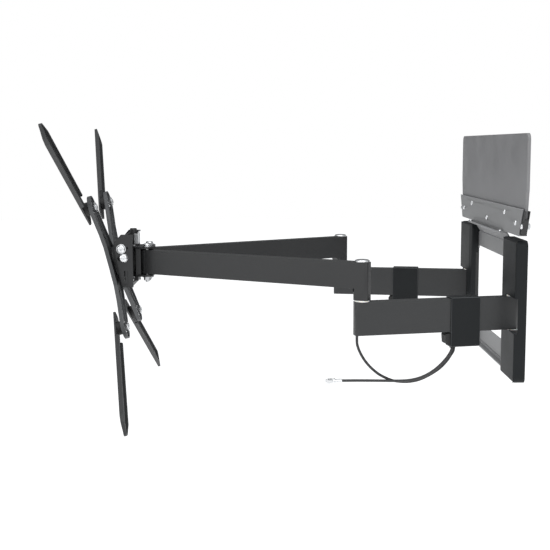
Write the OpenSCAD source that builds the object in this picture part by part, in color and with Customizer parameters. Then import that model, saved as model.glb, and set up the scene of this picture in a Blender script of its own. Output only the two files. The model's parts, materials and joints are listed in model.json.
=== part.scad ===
// Full motion TV wall mount with two folding arms, a tilting screen plate
// and a flat indoor antenna on top of the wall plate.
// The wall is the plane y = 0 and the screen is towards -y. z is up.
// The origin is the middle of the four wall bolt holes.

/* [Wall plate] */
// Half the distance between the inner faces of the two upright covers
inner_half_w = 105; // [100:1:110]
// Half the whole width of the wall plate
outer_half_w = 187; // [184:1:195]
// Height of the upright covers
cover_h = 190; // [180:2:210]
// Depth of the upright covers, measured from the wall
cover_d = 15.5; // [15.5:0.5:18]
// Wall thickness of the plastic covers
cover_wall = 1.5; // [1:0.1:2]
// Thickness of the pressed steel of the uprights and the crossbars
sheet = 2.5; // [2:0.1:2.5]
// Sideways spacing of the wall bolts
bolt_w = 300; // [290:2:310]
// Vertical spacing of the wall bolts
bolt_h = 140; // [130:2:144]
// Radius of a wall bolt hole
bolt_r = 4.5; // [3:0.25:5]

/* [Arms] */
// Distance of each wall pivot from the middle
wall_pivot_x = 148; // [146:1:150]
// Distance of each wall pivot from the wall
wall_pivot_d = 9.5; // [9.5:0.1:10]
// Pivot to pivot length of a rear arm
rear_len = 211.5; // [190:0.5:220]
// Outward splay of a rear arm as the mount stands
splay = 11.3; // [8:0.1:14]
// Pivot to pivot length of a forearm
fore_len = 345.7; // [330:0.1:360]
// Distance of each head pivot from the middle
head_pivot_x = 17; // [17:0.5:20]
// Thickness of the arm tubes
tube_t = 16; // [12:0.5:16]
// Height of a rear arm tube
rear_h = 44.5; // [40:0.5:44.5]
// Height of the underside of the rear arms
rear_z = -27; // [-27:0.5:-25]
// Height of the underside of the forearm tubes
fore_z = 34.7; // [33:0.1:36]
// Height of the top of the forearm tubes
fore_top = 69.5; // [68:0.1:70]
// Radius of the elbow barrels
elbow_r = 10.5; // [9:0.25:11]

/* [Screen plate] */
// Forward lean of the screen plate as the mount stands
lean = 13.7; // [-5:0.1:15]
// Distance of the screen plate's middle from the wall
vesa_d = 573; // [573:1:573]
// Height of the screen plate's middle
vesa_z = 47.5; // [47.5:0.5:47.5]
// Hole spacing of the largest screen pattern, the same both ways
vesa = 400; // [400:1:400]
// Radius of a screen screw hole
vesa_r = 4.25; // [3:0.05:4.5]
// Width of an extension arm
ext_w = 21; // [19:0.5:22]
// Sideways distance of an extension arm's bolt from the middle
bolt_x = 73.1; // [72:0.1:74]
// Height of an extension arm's bolt above or below the middle
bolt_v = 87.3; // [86:0.1:88]
// Angle of the extension arms from the horizontal
ext_angle = 38.1; // [36:0.1:41.5]
// Length of an extension arm from its bolt to its point
ext_len = 185; // [184:0.5:188]

/* [Antenna] */
// Half the width of the antenna panel
panel_half_w = 210; // [200:1:220]
// Height of the top edge of the antenna panel
panel_top = 234.5; // [200:0.5:250]
// Radius of the panel's top corners
panel_r = 9; // [5:1:15]

/* [Cable clips] */
// Length of a cable clip along the arm
clip_len = 41; // [35:1:45]
// Distance of the right clip's near end from the wall pivot
right_clip_s = 50; // [45:1:60]
// Distance of the left clip's near end from the wall pivot
left_clip_s = 82; // [70:1:90]
// Radius of the coax cables
cable_r = 1.8; // [1.5:0.1:1.9]

/* [Hidden] */
$fn = 48;

// Fits and gaps
run_gap = 0.05;   // radial clearance of a pin in its running bore
fix_gap = 0.02;   // radial clearance of a pin in its fixed bore
face_gap = 0.1;   // gap between faces that turn on each other
eps = 0.5;        // overshoot of a cut

// Heights of the arms and their joints
rear_top = rear_z + rear_h;
arm_slot_low = rear_z - 1.3;
arm_slot_high = rear_top + 1.3;
ear_t = 3;
elbow_washer_t = 1.8;
fore_barrel_z = rear_top + elbow_washer_t + face_gap;

// Pivot radii
wall_pin_r = 3;
elbow_pin_r = 4;
head_pin_r = 3;
head_bore_r = 6.5;
head_barrel_r = 8.2;

// Places that follow from the driving sizes
fore_angle = asin((wall_pivot_x + rear_len*sin(splay) - head_pivot_x)/fore_len);
elbow_x = wall_pivot_x + rear_len*sin(splay);
elbow_d = wall_pivot_d + rear_len*cos(splay);
head_d = elbow_d + fore_len*cos(fore_angle);

// Head sizes: the swivel axis, the yoke's lugs and the cheeks
swivel_d = 538;
lug_t = 3;
lug_low = fore_z - 1.5 - lug_t;
lug_high = fore_top + 1.5;
swivel_pin_r = 4;
knuckle_r = 7.5;
cheek_x = 42;
cheek_t = 3;
cheek_back = 534;
cheek_low = 17.5;
cheek_high = 94;
web_d = 536;

// Screen plate layers, measured from the plate's middle point towards the wall
ext_y = -4.2;
ext_t = 2.5;
ext_flange = 6.3;
cross_face = 6;
cross_t = 2.5;
cross_lip = 11.4;
cross_y = 11;
tilt_y = 13.8;
tilt_t = 3;
ear_x = 40;
bolt_y = 28;
pivot_v = 19.8;
lock_v = 6.3;
tilt_bolt_r = 3.9;
boss_r = 12;
tip_r = 17;
hub_r = 21.5;

// Screws
button_r = 3.6;

// Routes of the two coax cables in the right rear arm's own frame:
// distance from the wall pivot, sideways offset, height
loop_route = [
    [82, -2, -47.3], [82, -2, -51], [83, -2, -55.5], [86, -2, -60], [90.5, -2, -66.5],
    [98, -2, -74.5], [106, -2, -80.5], [116, -2, -86], [128, -2, -91], [138, -2, -93.2],
    [148, -2, -93.8], [158, -2, -93], [168, -2, -90.8], [177.5, -2, -86.8], [187.5, -2, -81],
    [198, -2, -72], [206.5, -2, -62], [213, -2, -51], [216.8, -2, -41], [217.5, -2, -34],
    [217.5, -2, -27]];
lead_route = [
    [86.5, 2, -47.3], [86.5, 2, -51], [88, 2, -55], [91.5, 2, -60.5], [96, 2, -66],
    [105.5, 2, -75], [116, 2, -82], [127, 2, -87], [139, 2, -90], [152, 2, -91],
    [168, 2, -90.5], [184, 2, -89.5], [200, 2, -88.5], [214, 2, -87.7], [228, 2, -87],
    [239, 2, -86.5]];
connector_len = 22;

// ---------- helpers ----------

// The left copy of a right-hand part
module on_side(side) { mirror([side < 0 ? 1 : 0, 0, 0]) children(); }

// The right rear arm's frame: its origin on the wall pivot, +x along the arm, y across it
module rear_frame() {
    translate([wall_pivot_x, -wall_pivot_d, 0]) rotate([0, 0, splay - 90]) children();
}

// The right forearm's frame: its origin on the elbow, +x along the arm to the head
module fore_frame() {
    translate([elbow_x, -elbow_d, 0]) rotate([0, 0, -90 - fore_angle]) children();
}

// The screen plate's frame: y = 0 is the screen's face and +y is towards the wall
module screen_frame() {
    translate([0, -vesa_d, vesa_z]) rotate([lean, 0, 0]) children();
}

// A straight round bar from one height to another
module post(r, low, high) { translate([0, 0, low]) cylinder(r = r, h = high - low); }

// A round bar along +y
module bar_y(r, from, to) { translate([0, from, 0]) rotate([-90, 0, 0]) cylinder(r = r, h = to - from); }

// A round bar along +x
module bar_x(r, from, to) { translate([from, 0, 0]) rotate([0, 90, 0]) cylinder(r = r, h = to - from); }

// An outline in x and z, made into a plate between two depths from the wall
module plate_xz(near, far) { translate([0, -near, 0]) rotate([90, 0, 0]) linear_extrude(far - near) children(); }

// An outline in x and z in the screen's frame, between two layers
module layer(from, to) { translate([0, to, 0]) rotate([90, 0, 0]) linear_extrude(to - from) children(); }

// A button head screw whose axis is -y, seated at a depth from the wall
module button_head(depth, r, t) {
    translate([0, -depth, 0]) rotate([90, 0, 0]) difference() {
        union() {
            cylinder(r = r, h = 0.45*t);
            translate([0, 0, 0.45*t]) cylinder(r1 = r, r2 = 0.66*r, h = 0.55*t);
        }
        translate([0, 0, 0.5*t]) cylinder(r = 0.4*r, h = t, $fn = 6);
    }
}

// A rectangle with round corners
module round_rect(w, h, r) {
    square([w - 2*r, h], center = true);
    square([w, h - 2*r], center = true);
    for (x = [-1, 1], z = [-1, 1]) translate([x*(w/2 - r), z*(h/2 - r)]) circle(r);
}

// A drop shape that starts round at the origin and narrows along +x
module drop(r1, r2, len) {
    circle(r1);
    translate([len, 0]) circle(r2);
    polygon([[0, r1], [len, r2], [len, -r2], [0, -r1]]);
}

// A smooth curve through route points, and a tube swept along it
function spline(a, b, c, d, t) = 0.5*(2*b + (c - a)*t + (2*a - 5*b + 4*c - d)*t*t
    + (3*b - a - 3*c + d)*t*t*t);
function smooth(route, steps) = [
    for (i = [0:len(route) - 2], k = [0:steps - 1])
        spline(route[max(i - 1, 0)], route[i], route[i + 1],
            route[min(i + 2, len(route) - 1)], k/steps),
    route[len(route) - 1]];
function heading(path, i) = let (a = path[max(i - 1, 0)], b = path[min(i + 1, len(path) - 1)],
    v = b - a) v/norm(v);
module cord_tube(route, r, sides = 8) {
    path = smooth(route, 2);
    last = len(path) - 1;
    rings = [for (i = [0:last]) let (t = i == 0 || i == last ? end_heading(path, i) : heading(path, i),
        up = cross([0, 1, 0], t)) for (k = [0:sides - 1])
            path[i] + r*(cos(360*k/sides)*[0, 1, 0] + sin(360*k/sides)*up/norm(up))];
    faces = [
        [for (k = [0:sides - 1]) k],
        [for (k = [0:sides - 1]) last*sides + sides - 1 - k],
        for (i = [0:last - 1], k = [0:sides - 1])
            [i*sides + k, (i + 1)*sides + k, (i + 1)*sides + (k + 1)%sides, i*sides + (k + 1)%sides]];
    polyhedron(points = rings, faces = faces, convexity = 6);
}
// The ends stand square to the face that they meet: down, up or along the arm
function end_heading(path, i) = let (v = heading(path, i)) abs(v[2]) > abs(v[0])
    ? [0, 0, sign(v[2])] : [sign(v[0]), 0, 0];

// ---------- wall plate ----------

module upright() {
    left = 112.3;
    ear_left = 117.6;
    right = outer_half_w - 4;
    back_low = -cover_h/2 + 3;
    side_low = -cover_h/2 + 7;
    reach = cover_d - cover_wall - 0.4;
    color("#3d3f41") difference() {
        union() {
            translate([left, -sheet, back_low]) cube([right - left, sheet, -2*back_low]);
            translate([left, -cover_d + 4, -52]) cube([sheet, cover_d - 4, 104]);
            translate([right - sheet, -reach, side_low])
                cube([sheet, reach, arm_slot_low - ear_t + 1 - side_low]);
            translate([right - sheet, -reach, arm_slot_high + ear_t - 1])
                cube([sheet, reach, -side_low - arm_slot_high - ear_t + 1]);
            for (low = [arm_slot_low - ear_t, arm_slot_high])
                translate([ear_left, -reach, low]) cube([right - ear_left, reach, ear_t]);
        }
        translate([wall_pivot_x, -wall_pivot_d, arm_slot_low - ear_t - eps])
            cylinder(r = wall_pin_r + fix_gap, h = rear_h + 2*ear_t + 4);
        // The back is open behind the arm, which turns close to the wall
        translate([wall_pivot_x - tube_t/2 - 6, -sheet - eps, arm_slot_low])
            cube([right, sheet + 2*eps, arm_slot_high - arm_slot_low]);
        for (z = [-1, 1]) translate([bolt_w/2, 0, z*bolt_h/2]) bar_y(bolt_r, -sheet - eps, eps);
    }
}

module right_upright() { upright(); }
module left_upright() { on_side(-1) upright(); }

// The cover's outline seen from above: a soft inner edge and a bevelled outer one
module cover_outline() {
    polygon([[inner_half_w, 0], [inner_half_w, -cover_d + 3.4], [inner_half_w + 1, -cover_d + 1.8],
        [inner_half_w + 12, -cover_d], [outer_half_w - 1.6, -cover_d],
        [outer_half_w, -cover_d + 1.6], [outer_half_w, 0]]);
}

// The cover's outline seen from the side, with bevelled front edges
module cover_profile(inset) {
    h = cover_h/2 - inset;
    d = cover_d - inset;
    polygon([[0, -h], [0, h], [-d + 3.5, h], [-d, h - 2.5], [-d, -h + 2.5], [-d + 3.5, -h]]);
}

module upright_cover() {
    mid = (inner_half_w + outer_half_w)/2;
    width = outer_half_w - inner_half_w;
    slot_left = wall_pivot_x - tube_t/2 - 6;
    seam_x = outer_half_w - 3.6;
    color("#434548") difference() {
        intersection() {
            plate_xz(0, cover_d) translate([mid, 0]) round_rect(width, cover_h, 8);
            translate([0, 0, -cover_h/2]) linear_extrude(cover_h) cover_outline();
            rotate([90, 0, 90]) linear_extrude(outer_half_w + eps) cover_profile(0);
        }
        // The hollow behind the front, in three steps that follow the bevels
        plate_xz(-eps, cover_d - 6) translate([mid, 0])
            round_rect(width - 2*cover_wall, cover_h - 2*cover_wall, 6.5);
        plate_xz(cover_d - 6.5, cover_d - 3.3) translate([mid, 0])
            round_rect(width - 2*cover_wall, cover_h - 7, 6.5);
        plate_xz(cover_d - 3.8, cover_d - cover_wall) translate([mid + 5.25, 0])
            round_rect(width - 2*cover_wall - 10.5, cover_h - 9, 6.5);
        // The opening that the arm folds into
        translate([slot_left, -cover_d - eps, arm_slot_low])
            cube([outer_half_w - slot_left - cover_wall, cover_wall + 2*eps, arm_slot_high - arm_slot_low]);
        translate([outer_half_w - cover_wall - eps, -cover_d - eps, arm_slot_low])
            cube([cover_wall + 2*eps, 4.2 + eps, arm_slot_high - arm_slot_low]);
        // The inner side stops short of the wall to clear the crossbars
        translate([inner_half_w - eps, -3.2, -cover_h/2 + 12]) cube([8, 3.2 + eps, cover_h - 24]);
        // A hand hole in the inner side
        translate([inner_half_w - eps, -7, -50]) cube([4, 7, 100]);
        // The seam line beside the outer edge of the front
        for (low = [-cover_h/2, arm_slot_high]) translate([seam_x, -cover_d - eps, low])
            cube([1.6, 0.9 + eps, low < 0 ? arm_slot_low + cover_h/2 : cover_h/2 - arm_slot_high]);
    }
}

module right_upright_cover() { upright_cover(); }
module left_upright_cover() { on_side(-1) upright_cover(); }

// The joggled end tabs that lap over the uprights
module end_tabs(low, high) {
    for (side = [-1, 1]) on_side(side)
        translate([108, -2*sheet, low]) cube([20, sheet, high - low]);
}

module crossbar_holes(heights) {
    for (side = [-1, 1], z = heights) translate([side*121, 0, z]) bar_y(2.2, -6, 1);
}

module top_crossbar() {
    color("#7d7e80") difference() {
        union() {
            translate([-112, 0, 0]) rotate([90, 0, 90]) linear_extrude(224)
                polygon([[0, 61.5], [-sheet, 61.5], [-sheet, 84.6], [-1.2, 85], [-1.2, 86], [-sheet, 86.5],
                    [-10, 99], [-20.5, 99],
                    [-20.5, 101.4], [-8.8, 101.4], [0, 87.5]]);
            end_tabs(64, 82);
            // Rounded fillets where the web meets the uprights
            for (side = [-1, 1]) on_side(side) plate_xz(0, sheet) difference() {
                translate([104, 57]) square([8, 5]);
                translate([104, 57]) circle(4.5);
            }
        }
        // The bent flange stops inside the covers
        for (side = [-1, 1]) on_side(side) translate([inner_half_w - 0.7, -25, 82.5]) cube([20, 30, 22]);
        crossbar_holes([68, 78]);
        for (x = [-100, 100]) translate([x, -17, 98]) cylinder(r = 1.6, h = 4);
    }
}

module bottom_crossbar() {
    color("#8a8b8d") difference() {
        union() {
            translate([-112, 0, 0]) rotate([90, 0, 90]) linear_extrude(224)
                polygon([[0, -60], [-sheet, -60], [-sheet, -85.4], [-1.2, -85.8], [-1.2, -86.6],
                    [-sheet, -87], [-sheet, -89.5], [-9, -91], [-9, -93], [0, -91.5]]);
            end_tabs(-82, -64);
        }
        // The lip stops inside the covers
        for (side = [-1, 1]) on_side(side) translate([inner_half_w - 0.7, -25, -98.5]) cube([20, 30, 16]);
        crossbar_holes([-68, -78]);
    }
}

module crossbar_rivets() {
    color("#a9abad") for (side = [-1, 1], z = [-78, -68, 68, 78]) translate([side*121, 0, z]) {
        bar_y(2.15, -2*sheet, -sheet);
        translate([0, -2*sheet, 0]) rotate([90, 0, 0]) cylinder(r1 = 3.8, r2 = 2, h = 1.6);
    }
}

module wall_pivot_pins() {
    low = arm_slot_low - ear_t - 1;
    color("#8f9193") for (side = [-1, 1]) translate([side*wall_pivot_x, -wall_pivot_d, 0]) {
        post(wall_pin_r, low, arm_slot_high + ear_t + 1);
        post(4.2, low - 1.5, low + 0.9);
    }
}

module wall_pivot_washers() {
    color("#e9e9e6") for (side = [-1, 1], low = [arm_slot_low, rear_top + face_gap])
        translate([side*wall_pivot_x, -wall_pivot_d, low]) difference() {
            cylinder(r = tube_t/2 - 0.3, h = 1.3 - face_gap);
            translate([0, 0, -eps]) cylinder(r = wall_pin_r + run_gap, h = 3);
        }
}

// ---------- antenna ----------

bracket_low = 101.5;
bracket_high = 137.5;
bracket_low_w = 187;
bracket_high_w = 205;
screw_places = [[-172, 118], [-110, 128.5], [0, 113], [110, 128.5], [172, 118]];
end_places = [[-198.2, 115], [198.2, 115]];

module tapered(grow, low, high) {
    slope = (bracket_high_w - bracket_low_w)/(bracket_high - bracket_low);
    a = bracket_low_w + grow + slope*(low - bracket_low);
    b = bracket_low_w + grow + slope*(high - bracket_low);
    polygon([[-a, low], [a, low], [b, high], [-b, high]]);
}

module antenna_bracket() {
    color("#838486") difference() {
        union() {
            plate_xz(12, 13.5) tapered(0, bracket_low, bracket_high);
            plate_xz(2, 12) tapered(0, bracket_low, bracket_low + 1.5);
        }
        for (p = screw_places) translate([p[0], -11.5, p[1]]) rotate([90, 0, 0]) cylinder(r = 1.7, h = 3);
    }
}

module antenna_base() {
    color("#161718") difference() {
        plate_xz(5, 11.9) tapered(8.5, bracket_low + 1.6, bracket_high - 2);
        // The slot that holds the panel's lower edge
        translate([-panel_half_w - 5, -10.4, 124]) cube([2*panel_half_w + 10, 4.4, 20]);
        for (p = end_places) translate([p[0], -13, p[1]]) rotate([-90, 0, 0]) cylinder(r = 2.1, h = 10);
    }
}

module antenna_panel() {
    color("#77787a") plate_xz(6.2, 10.2) {
        translate([0, panel_top - 40]) round_rect(2*panel_half_w, 80, panel_r);
        polygon([[-panel_half_w, panel_top - 20], [-panel_half_w, 165], [-203, 124.2],
            [203, 124.2], [panel_half_w, 165], [panel_half_w, panel_top - 20]]);
    }
}

module antenna_screws() {
    color("#d8dadc") {
        for (p = screw_places) translate([p[0], 0, p[1]]) {
            button_head(13.5, button_r, 2);
            bar_y(1.65, -13.5, -11.9);
        }
        for (p = end_places) translate([p[0], 0, p[1]]) {
            button_head(11.9, button_r, 2);
            bar_y(2, -11.9, -1.2);
        }
    }
}

module antenna_nuts() {
    color("#b9bbbd") for (p = end_places) translate([p[0], -1.8, p[1]]) rotate([90, 0, 0]) difference() {
        cylinder(r = 4.2, h = 3.1, $fn = 6);
        translate([0, 0, -eps]) cylinder(r = 2.02, h = 5);
    }
}

module bracket_screws() {
    color("#d8dadc") for (x = [-100, 100]) translate([x, -17, 0]) {
        post(1.55, 98.5, 101.4);
        translate([0, 0, 101.4]) cylinder(r1 = 2.9, r2 = 1.8, h = 1.6);
    }
}

// ---------- rear arms ----------

// The end of an arm round the elbow pin: flat sides with soft corners
module elbow_block(low, high) {
    translate([0, 0, low]) linear_extrude(high - low) round_rect(2*elbow_r, tube_t, 4.5);
}

module rear_arm(clip_s) {
    color("#454749") rear_frame() difference() {
        union() {
            translate([0, -tube_t/2, rear_z]) cube([rear_len - 5, tube_t, rear_h]);
            post(tube_t/2, rear_z, rear_top);
            translate([rear_len, 0, 0]) elbow_block(rear_z, rear_top);
        }
        translate([0, 0, rear_z - eps]) cylinder(r = wall_pin_r + run_gap, h = rear_h + 2*eps);
        translate([rear_len, 0, 0]) post(elbow_pin_r + fix_gap, -10, rear_top + eps);
        // The inside of the tube, and the cable slot under the clip
        translate([16, -tube_t/2 + 2, rear_z + 2]) cube([rear_len - 34, tube_t - 4, rear_h - 4]);
        translate([clip_s + 8, -3, rear_z - eps]) cube([24, 6, 3]);
    }
}

module right_rear_arm() { rear_arm(right_clip_s); }
module left_rear_arm() { on_side(-1) rear_arm(left_clip_s); }

module elbow_pin() {
    color("#cfd1d3") rear_frame() translate([rear_len, 0, 0]) {
        post(elbow_pin_r, -9.9, fore_top + 0.4);
        post(9.8, fore_top + face_gap, fore_top + 1.5);
        translate([0, 0, fore_top + 1.5]) cylinder(r1 = 9.2, r2 = 6.4, h = 1.9);
    }
}

module right_elbow_pin() { elbow_pin(); }
module left_elbow_pin() { on_side(-1) elbow_pin(); }

module elbow_washer() {
    color("#efefec") rear_frame() translate([rear_len, 0, rear_top]) difference() {
        cylinder(r = elbow_r - 0.6, h = elbow_washer_t);
        translate([0, 0, -eps]) cylinder(r = elbow_pin_r + fix_gap, h = 4);
    }
}

module right_elbow_washer() { elbow_washer(); }
module left_elbow_washer() { on_side(-1) elbow_washer(); }

// A plastic sleeve round the arm with a cable channel under it
clip_low = -47.3;
clip_t = 2;
module cable_clip(s) {
    half = tube_t/2 + clip_t;
    top = rear_top + clip_t;
    color("#444648") rear_frame() difference() {
        translate([s, -half, clip_low]) cube([clip_len, 2*half, top - clip_low]);
        translate([s - eps, -tube_t/2 - 0.05, rear_z - 0.05])
            cube([clip_len + 2*eps, tube_t + 0.1, rear_h + 0.1]);
        translate([s - eps, -tube_t/2, clip_low + clip_t])
            cube([clip_len + 2*eps, tube_t, rear_z - clip_low - 2*clip_t]);
        // Bevelled lower edges
        for (y = [-half, half]) translate([s - eps, y, clip_low]) rotate([45, 0, 0])
            translate([0, -1, -1]) cube([clip_len + 2*eps, 2, 2]);
    }
}

module right_cable_clip() { cable_clip(right_clip_s); }
module left_cable_clip() { on_side(-1) cable_clip(left_clip_s); }

// The soft black block that fills the cable channel and stands out at its outer end
module clip_liner(s) {
    low = clip_low + clip_t + 0.1;
    high = rear_z - clip_t - 0.1;
    color("#0d0d0e") rear_frame() translate([0, tube_t/2 - 0.1, 0]) rotate([90, 0, 0])
        linear_extrude(tube_t - 0.2) polygon([[s + 6, low], [s + clip_len + 1, low],
            [s + clip_len + 6, low + 2.5], [s + clip_len + 7, high - 2.5],
            [s + clip_len + 5.5, high], [s + 6, high]]);
}

module right_clip_liner() { clip_liner(right_clip_s); }
module left_clip_liner() { on_side(-1) clip_liner(left_clip_s); }

module coax_loop() { color("#3a3b3c") rear_frame() cord_tube(loop_route, cable_r); }
module coax_lead() { color("#3a3b3c") rear_frame() cord_tube(lead_route, cable_r); }

module coax_connector() {
    end = lead_route[len(lead_route) - 1];
    color("#c9cbcd") rear_frame() translate(end) difference() {
        union() {
            bar_x(2.6, 0, 9);
            bar_x(3.6, 9, connector_len - 7);
            rotate([0, 90, 0]) cylinder(r = 3, h = 3);
            translate([connector_len - 8, 0, 0]) rotate([0, 90, 0]) cylinder(r = 4, h = 8, $fn = 6);
        }
        bar_x(2.2, connector_len - 6, connector_len + 1);
    }
}

// ---------- forearms ----------

module forearm(bore_r) {
    tip = fore_len;
    color("#303234") fore_frame() difference() {
        union() {
            translate([5, -tube_t/2, fore_z]) cube([tip - 5, tube_t, fore_top - fore_z]);
            elbow_block(fore_barrel_z, fore_top);
            // The soft corner under the tube where it meets the block
            translate([0, tube_t/2, 0]) rotate([90, 0, 0]) linear_extrude(tube_t)
                polygon([[elbow_r - 1, fore_z - 4.5], [elbow_r, fore_z - 4.5], [elbow_r + 1.2, fore_z - 1.4],
                    [elbow_r + 4.5, fore_z], [elbow_r + 4.5, fore_z + 1], [elbow_r - 1, fore_z + 1]]);
            translate([tip, 0, 0]) post(head_barrel_r, fore_z, fore_top);
        }
        translate([0, 0, fore_barrel_z - eps])
            cylinder(r = elbow_pin_r + run_gap, h = fore_top - fore_barrel_z + 2*eps);
        translate([tip, 0, fore_z - eps]) cylinder(r = bore_r, h = fore_top - fore_z + 2*eps);
        translate([16, -tube_t/2 + 2, fore_z + 2]) cube([tip - 80, tube_t - 4, fore_top - fore_z - 4]);
        translate([60, -3, fore_z - eps]) cube([24, 6, 3]);
    }
}

module right_forearm() { forearm(head_pin_r + run_gap); }
module left_forearm() { on_side(-1) forearm(head_bore_r); }

// ---------- yoke ----------

// One lug plate: it holds both head pivots and the swivel pin
module lug() {
    for (x = [-1, 1]) translate([x*head_pivot_x, -head_d]) circle(9);
    translate([0, -swivel_d]) circle(9);
    polygon([[-head_pivot_x, -head_d + 9], [head_pivot_x, -head_d + 9],
        [head_pivot_x + 8, -head_d - 4], [22, -532.6], [8, -swivel_d - 4], [-8, -swivel_d - 4],
        [-22, -532.6], [-head_pivot_x - 8, -head_d - 4]]);
}

module head_yoke() {
    color("#232527") difference() {
        union() {
            for (z = [lug_low, lug_high]) translate([0, 0, z]) linear_extrude(lug_t) lug();
            translate([-4.5, -529, lug_low]) cube([9, 20, lug_high - lug_low + lug_t]);
            // Side plates that carry on the line of the forearms
            for (side = [-1, 1]) on_side(side) translate([19, -532.6, lug_low])
                cube([3, 7.3, lug_high - lug_low + lug_t]);
            translate([-12, -535.8, lug_low - 7.2]) cube([24, 5.3, 7.5]);
        }
        for (x = [-1, 1]) translate([x*head_pivot_x, -head_d, lug_low - eps])
            cylinder(r = head_pin_r + fix_gap, h = lug_high - lug_low + 2*lug_t);
        translate([0, -swivel_d, 0]) {
            post(swivel_pin_r + fix_gap, lug_low - eps, lug_high + 2*lug_t);
            post(5.8, lug_low - 8, lug_low - 0.01);
        }
    }
}

washer_r = 6.8;
module head_pivot_washers() {
    color("#d4d6d8") for (x = [-1, 1], z = [lug_low - 1.2, lug_high + lug_t])
        translate([x*head_pivot_x, -head_d, z]) difference() {
            cylinder(r = washer_r, h = 1.2);
            translate([0, 0, -eps]) cylinder(r = head_pin_r + fix_gap, h = 3);
        }
}

module head_pivot_bolts() {
    seat = lug_high + lug_t + 1.2;
    color("#dcdee0") for (x = [-1, 1]) translate([x*head_pivot_x, -head_d, 0]) {
        post(head_pin_r, lug_low - 8, seat);
        post(5.6, seat, seat + 1.8);
        translate([0, 0, seat + 1.8]) cylinder(r1 = 5, r2 = 3.2, h = 2);
    }
}

module head_pivot_nuts() {
    top = lug_low - 1.2;
    color("#c4c6c8") for (x = [-1, 1]) translate([x*head_pivot_x, -head_d, top - 4.6]) difference() {
        cylinder(r = 5.4, h = 4.6, $fn = 6);
        translate([0, 0, -eps]) cylinder(r = head_pin_r + fix_gap, h = 6);
    }
}

module swivel_pin() {
    color("#9b9da0") translate([0, -swivel_d, 0]) {
        post(swivel_pin_r, lug_low - 3, 90);
        post(5.6, lug_low - 5, lug_low);
    }
}

module swivel_cap() {
    color("#1d1e20") translate([0, -swivel_d, 0]) difference() {
        union() {
            post(5.3, 76, 98.6);
            translate([0, 0, 98.6]) cylinder(r1 = 5.3, r2 = 4.4, h = 1.2);
        }
        post(swivel_pin_r + fix_gap, 75, 90.1);
    }
}

// ---------- swivel bracket ----------

// A point of the screen frame as distance from the wall and height
function depth_of(y, v) = vesa_d - y*cos(lean) + v*sin(lean);
function height_of(y, v) = vesa_z + y*sin(lean) + v*cos(lean);
pivot_d = depth_of(bolt_y, pivot_v);
pivot_z = height_of(bolt_y, pivot_v);
lock_d = depth_of(bolt_y, lock_v);
lock_z = height_of(bolt_y, lock_v);
lock_reach = pivot_v - lock_v;

module cheek() {
    difference() {
        translate([cheek_x, 0, 0]) rotate([90, 0, 90]) linear_extrude(cheek_t) polygon([
            [-cheek_back, cheek_low], [-cheek_back, cheek_high], [-550.7, cheek_high], [-558.9, 84.3],
            [-560, 72], [-549.4, cheek_low]]);
        translate([0, -pivot_d, pivot_z]) bar_x(tilt_bolt_r + fix_gap, 30, 60);
        // The arc that the lock bolt slides along as the plate tilts
        for (turn = [-20:2:2]) translate([0, -pivot_d, pivot_z])
            rotate([lean + turn, 0, 0]) translate([0, 0, -lock_reach]) bar_x(tilt_bolt_r + 0.2, 30, 60);
        // The slot and the shallow pressed frame under the bolts
        translate([30, -546.9, 27.5]) cube([30, 2, 14]);
        translate([cheek_x + cheek_t - 0.6, -549.2, 21.5]) cube([2, 8.2, 1.4]);
        translate([cheek_x + cheek_t - 0.6, -542.2, 21.5]) cube([2, 1.2, 20]);
        translate([0, -541.8, 74.5]) bar_x(1.6, 30, 60);
    }
}

module swivel_bracket() {
    color("#2a2c2e") difference() {
        union() {
            for (side = [-1, 1]) on_side(side) cheek();
            // Straps between the cheeks: distance from the wall, low edge, high edge
            for (strap = [[web_d, cheek_low, 22.2], [541, 36, 50], [546, 84, 91]])
                translate([-cheek_x - 1, -strap[0] - 3, strap[1]])
                    cube([2*cheek_x + 2, 3, strap[2] - strap[1]]);
            // Two stays that carry the cap guard
            for (side = [-1, 1]) on_side(side) translate([7.4, -547, 84]) cube([1.5, 11, 7]);
            translate([0, -swivel_d, 0])
                post(knuckle_r, lug_low + lug_t + face_gap, lug_high - face_gap);
        }
        translate([0, -swivel_d, 0]) post(swivel_pin_r + run_gap, lug_low, lug_high + 2);
    }
}

// The bright guard round the swivel cap, with its top edge bent towards the wall
module cap_guard() {
    color("#b4b6b8") {
        for (side = [-1, 1]) on_side(side) translate([7.4, -536, 77.5]) cube([1.5, 6, 15]);
        translate([-8.9, -531.5, 77.5]) cube([17.8, 1.5, 15]);
        translate([-8.9, -531.5, 0]) rotate([90, 0, 90]) linear_extrude(17.8)
            polygon([[0, 92], [1.5, 92], [3.8, 96.2], [2.6, 97]]);
    }
}

module tilt_pivot_bolts() {
    color("#dfe1e3") for (side = [-1, 1]) on_side(side) translate([0, -pivot_d, pivot_z]) {
        bar_x(tilt_bolt_r, ear_x - 6, cheek_x + cheek_t);
        bar_x(7, cheek_x + cheek_t, cheek_x + cheek_t + 1.2);
        translate([cheek_x + cheek_t + 1.2, 0, 0]) button_x(6, 3.4);
    }
}

// A button head whose axis is +x
module button_x(r, t) {
    rotate([0, 90, 0]) difference() {
        union() {
            cylinder(r = r, h = 0.35*t);
            translate([0, 0, 0.35*t]) cylinder(r1 = r, r2 = 0.9*r, h = 0.3*t);
            translate([0, 0, 0.65*t]) cylinder(r1 = 0.9*r, r2 = 0.62*r, h = 0.35*t);
        }
        translate([0, 0, 0.5*t]) cylinder(r = 0.42*r, h = t, $fn = 6);
    }
}

// ---------- tilting plate ----------

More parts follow.
